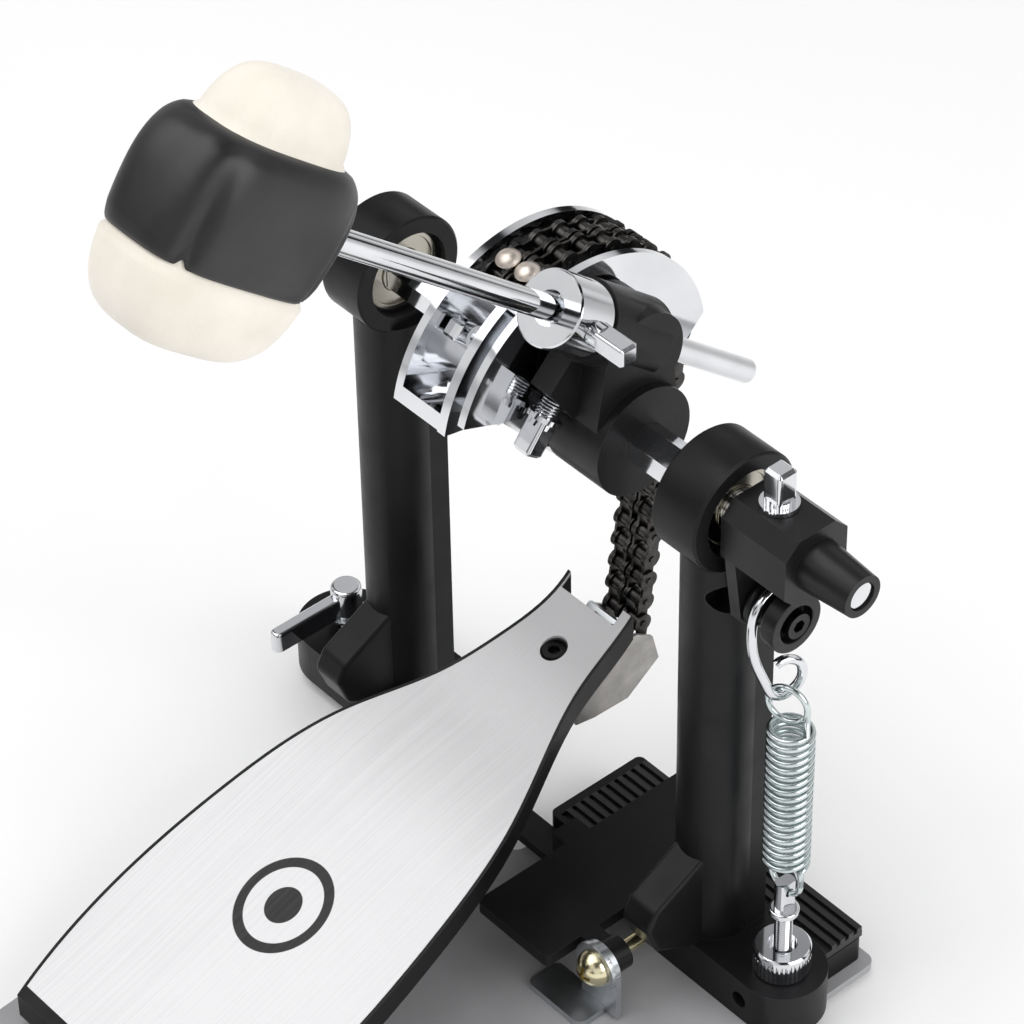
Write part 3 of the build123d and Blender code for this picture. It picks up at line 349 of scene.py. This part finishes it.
ROD_POINT = Vector(JOINTS["head_turn"]["pos_m"])
ALONG_ROD = Vector(JOINTS["rod_slide"]["axis"]).normalized()
ALONG_SHAFT = Vector((1, 0, 0))
THROUGH_FACES = ALONG_ROD.cross(ALONG_SHAFT)
HEAD_ALONG_ROD = 200.7 * MM        # head's middle, from the joint's point
HEAD_OFF_ROD = 1.0 * MM            # and off the rod's axis
HEAD_CENTRE = ROD_POINT + ALONG_ROD * HEAD_ALONG_ROD + THROUGH_FACES * HEAD_OFF_ROD
HALF_X = 18.8 * MM
HALF_ROD = 31.3 * MM
FACE_LOW, FACE_HIGH = -42.4 * MM, 38.9 * MM      # striking faces, from the head's centre
BAND_LOW, BAND_HIGH = -17.0 * MM, 20.4 * MM
HEAD_TAPER = 0.77
HEAD_SHOULDER = 0.35       # share of the band's height below its rounded shoulder
LOWER_SWELL = 0.06
SWELL_HEIGHT = 2.2 * MM
SECTION_POWER = 3.2        # 2 is an ellipse, larger is squarer
FACE_POWER = 3.6
BAND_WALL = 2.0 * MM


def ease(value):
    """Smooth step from 0 to 1."""
    value = min(1.0, max(0.0, value))
    return value * value * (3 - 2 * value)


def head_point(angle, height, grow=0.0):
    """Point on the head: angle goes round the rod-and-shaft section, height is along the striking axis."""
    reach = FACE_HIGH if height > 0 else -FACE_LOW
    shrink = max(0.0, 1 - min(1.0, abs(height) / reach) ** FACE_POWER) ** (1 / FACE_POWER)
    share = (height - BAND_LOW) / (BAND_HIGH - BAND_LOW)
    past = min(1.0, max(0.0, (share - HEAD_SHOULDER) / (1 - HEAD_SHOULDER)))
    taper = HEAD_TAPER + (1 - HEAD_TAPER) * sqrt(1 - past ** 3)
    taper += LOWER_SWELL * ease((BAND_LOW - height) / SWELL_HEIGHT)
    power = 2 / SECTION_POWER
    x = abs(cos(angle)) ** power * (1 if cos(angle) > 0 else -1)
    r = abs(sin(angle)) ** power * (1 if sin(angle) > 0 else -1)
    size = taper * shrink
    across = ALONG_SHAFT * (x * (HALF_X * size + grow))
    along = ALONG_ROD * (r * (HALF_ROD * size + grow))
    return HEAD_CENTRE + across + along + THROUGH_FACES * height


CORE_AROUND, CORE_ROWS = 96, 56


def felt_core():
    """Felt block: rings of points between a pole on each striking face."""
    around, rows = CORE_AROUND, CORE_ROWS
    vertices = []
    for i in range(1, rows):
        height = (FACE_LOW + FACE_HIGH) / 2 - (FACE_HIGH - FACE_LOW) / 2 * cos(pi * i / rows)
        for j in range(around):
            angle = 2 * pi * j / around
            vertices.append(head_point(angle, height))
    faces = ring_faces(rows - 1, around)
    poles = len(vertices)
    vertices += [HEAD_CENTRE + THROUGH_FACES * FACE_LOW, HEAD_CENTRE + THROUGH_FACES * FACE_HIGH]
    last = (rows - 2) * around
    for j in range(around):
        faces.append((poles, (j + 1) % around, j))
        faces.append((poles + 1, last + j, last + (j + 1) % around))
    piece = new_piece("felt_core", vertices, faces, "felt", "head")
    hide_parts("beater_core")


def corner_nearness(angle, width):
    """1 at each corner of the head's section, falling smoothly to 0 away from it."""
    away = (angle % (pi / 2)) - pi / 4
    return exp(-(away / width) ** 2)


BAND_AROUND, BAND_ROWS = 192, 40
CREASE_DEPTH = 2.0 * MM
CREASE_WIDTH = 0.16        # radians round the section
NOTCH_WIDTH = 0.06
BAND_SWELL = 1.1 * MM
INNER_SINK = 0.6 * MM      # the band's inside lies this far inside the felt
THINNEST = 0.7 * MM         # rubber left over the felt at the bottom of a crease
NOTCH_HEIGHT = 2.2 * MM


def rubber_band():
    """Stretched band: proud of the felt, hollowed down each corner and notched there at its lower rim."""
    around, rows = BAND_AROUND, BAND_ROWS
    outer, inner = [], []
    for i in range(rows):
        t = i / (rows - 1)
        rim = min(1.0, 8 * min(t, 1 - t)) ** 0.5
        for j in range(around):
            angle = 2 * pi * j / around
            low = BAND_LOW + NOTCH_HEIGHT * corner_nearness(angle, NOTCH_WIDTH)
            height = low + (BAND_HIGH - low) * t
            crease = CREASE_DEPTH * corner_nearness(angle, CREASE_WIDTH) * ease(1.3 - 1.3 * t)
            swell = BAND_SWELL * sin(pi * t)
            wall = BAND_WALL * (0.55 + 0.45 * rim) + swell - crease
            outer.append(head_point(angle, height, max(THINNEST, wall)))
            inner.append(head_point(angle, height, -INNER_SINK))
    vertices = outer + inner
    shell = len(outer)
    faces = ring_faces(rows, around)
    faces += [tuple(shell + k for k in reversed(face)) for face in ring_faces(rows, around)]
    top = (rows - 1) * around
    for j in range(around):
        k = (j + 1) % around
        faces.append((k, j, shell + j, shell + k))
        faces.append((top + j, top + k, shell + top + k, shell + top + j))
    piece = new_piece("rubber_band", vertices, faces, "rubber_black", "head")
    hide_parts("beater_band")


felt_core()
rubber_band()


# ---- spring ----------------------------------------------------------------------------------------

SPRING_WIRE_R = 1.05 * MM
LOOP_STEPS = 44
STEPS_PER_TURN = 36
COIL_R = 6.75 * MM
COIL_TURNS = 19
COIL_START = 13.0 * MM     # above the eye
COIL_HEIGHT = 58.5 * MM
LOOP_TWIST = radians(20)
LOOP_SHIFT = -2.0 * MM
TOP_LOOP_HEIGHT = 79.4 * MM        # above the eye


def end_loop(centre, twist, start, sweep_angle):
    """Points of a loop in an upright plane turned by twist about Z."""
    across = Vector((cos(twist), sin(twist), 0))
    points = []
    for i in range(LOOP_STEPS + 1):
        angle = start + sweep_angle * i / LOOP_STEPS
        points.append(centre + across * (COIL_R * cos(angle)) + Vector((0, 0, COIL_R * sin(angle))))
    return points


def tension_spring():
    eye = Vector(JOINTS["spring_swing"]["pos_m"])
    low_centre = eye + Vector((0, 0, COIL_R))
    coil_base = eye + Vector((0, 0, COIL_START))
    top_centre = eye + Vector((LOOP_SHIFT, 0, TOP_LOOP_HEIGHT))
    path = end_loop(low_centre, 0, radians(60), radians(-420))
    steps = COIL_TURNS * STEPS_PER_TURN
    for i in range(steps + 1):
        angle = 2 * pi * COIL_TURNS * i / steps
        path.append(coil_base + Vector((COIL_R * cos(angle), COIL_R * sin(angle), COIL_HEIGHT * i / steps)))
    path += end_loop(top_centre, LOOP_TWIST, 0, radians(330))
    vertices, faces = tube(path, SPRING_WIRE_R)
    piece = new_piece("tension_spring", vertices, faces, "spring_zinc", None)
    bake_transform(piece)
    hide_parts("spring")


tension_spring()


# ---- studio ----------------------------------------------------------------------------------------


FLOOR_HALF = 4.0
FLOOR_DROP = 0.4 * MM      # keeps it clear of the feet


def floor():
    """Plain pale floor."""
    mesh = bpy.data.meshes.new("floor")
    corners = [(x * FLOOR_HALF, y * FLOOR_HALF, 0) for x, y in ((-1, -1), (1, -1), (1, 1), (-1, 1))]
    mesh.from_pydata(corners, [], [(0, 1, 2, 3)])
    look = Look("floor")
    look.colour(look.mix(look.noise(3.0), (0.93, 0.93, 0.93), (0.95, 0.95, 0.95)))
    look.set(Roughness=0.9)
    mesh.materials.append(look.material)
    piece = bpy.data.objects.new("floor", mesh)
    piece.location.z = -FLOOR_DROP
    bpy.context.scene.collection.objects.link(piece)


LIGHT_TARGET = (0, 0, 0.15)
KEY_PLACE = (-0.4, -0.6, 1.5)
SIDE_PLACE = (1.3, 0.2, 0.8)


def area_light(name, place, target, size, power):
    light = bpy.data.lights.new(name, "AREA")
    light.size = size
    light.energy = power
    lamp = bpy.data.objects.new(name, light)
    lamp.location = place
    lamp.rotation_euler = (Vector(target) - Vector(place)).to_track_quat("-Z", "Y").to_euler()
    bpy.context.scene.collection.objects.link(lamp)


GLOSSY_STRENGTH = 0.9
FILL_STRENGTH = 0.62


def background(tree, strength):
    """A white background node."""
    made = tree.nodes.new("ShaderNodeBackground")
    made.inputs["Color"].default_value = (1, 1, 1, 1)
    made.inputs["Strength"].default_value = strength
    return made


def world():
    """White surround; mirrors see it broken by dark bands, as in a studio with black cards."""
    made = bpy.data.worlds.new("studio")
    bpy.context.scene.world = made
    made.use_nodes = True
    tree = made.node_tree
    tree.nodes.clear()
    output = tree.nodes.new("ShaderNodeOutputWorld")
    place = tree.nodes.new("ShaderNodeTexCoord")
    wave = tree.nodes.new("ShaderNodeTexNoise")
    wave.inputs["Scale"].default_value = 1.9
    wave.inputs["Detail"].default_value = 1.0
    ramp = tree.nodes.new("ShaderNodeValToRGB")
    stops = ramp.color_ramp.elements
    stops[0].position, stops[0].color = 0.42, (0.02, 0.02, 0.022, 1)
    stops[1].position, stops[1].color = 0.60, (0.95, 0.95, 0.95, 1)
    middle = stops.new(0.50)
    middle.color = (0.50, 0.50, 0.51, 1)
    cards = background(tree, GLOSSY_STRENGTH)
    fill = background(tree, FILL_STRENGTH)
    backdrop = background(tree, 1.0)
    path = tree.nodes.new("ShaderNodeLightPath")
    lit = tree.nodes.new("ShaderNodeMixShader")
    seen = tree.nodes.new("ShaderNodeMixShader")
    tree.links.new(place.outputs["Generated"], wave.inputs["Vector"])
    tree.links.new(wave.outputs["Fac"], ramp.inputs["Fac"])
    tree.links.new(ramp.outputs["Color"], cards.inputs["Color"])
    tree.links.new(path.outputs["Is Glossy Ray"], lit.inputs["Fac"])
    tree.links.new(fill.outputs[0], lit.inputs[1])
    tree.links.new(cards.outputs[0], lit.inputs[2])
    tree.links.new(path.outputs["Is Camera Ray"], seen.inputs["Fac"])
    tree.links.new(lit.outputs[0], seen.inputs[1])
    tree.links.new(backdrop.outputs[0], seen.inputs[2])
    tree.links.new(seen.outputs[0], output.inputs["Surface"])


CAMERA_AZIMUTH = 49.61
CAMERA_ELEVATION = 40.99
CAMERA_ROLL = 1.03
CAMERA_DISTANCE = 1.3309
CAMERA_LENS = 151.2
CAMERA_SIDE = 12.15 * MM   # the shaft's middle, right of and above the picture's centre
CAMERA_RISE = 42.08 * MM


def camera():
    azimuth, elevation, roll = (radians(v) for v in (CAMERA_AZIMUTH, CAMERA_ELEVATION, CAMERA_ROLL))
    back = Vector((sin(azimuth) * cos(elevation), -cos(azimuth) * cos(elevation), sin(elevation)))
    level_right = Vector((cos(azimuth), sin(azimuth), 0))
    level_up = back.cross(level_right)
    right = level_right * cos(roll) - level_up * sin(roll)
    up = level_right * sin(roll) + level_up * cos(roll)
    shaft = Vector(JOINTS["beater_swing"]["pos_m"])
    place = shaft + back * CAMERA_DISTANCE - right * CAMERA_SIDE - up * CAMERA_RISE
    data = bpy.data.cameras.new("camera")
    data.lens = CAMERA_LENS
    data.sensor_width = 36.0
    data.clip_start = 0.05
    made = bpy.data.objects.new("camera", data)
    turn = Matrix((right, up, back)).transposed().to_4x4()
    made.matrix_world = Matrix.Translation(place) @ turn
    bpy.context.scene.collection.objects.link(made)
    bpy.context.scene.camera = made


floor()
world()
area_light("key", KEY_PLACE, LIGHT_TARGET, 1.5, 14)
area_light("side", SIDE_PLACE, LIGHT_TARGET, 1.1, 10)
camera()
bpy.context.scene.view_settings.view_transform = "Standard"
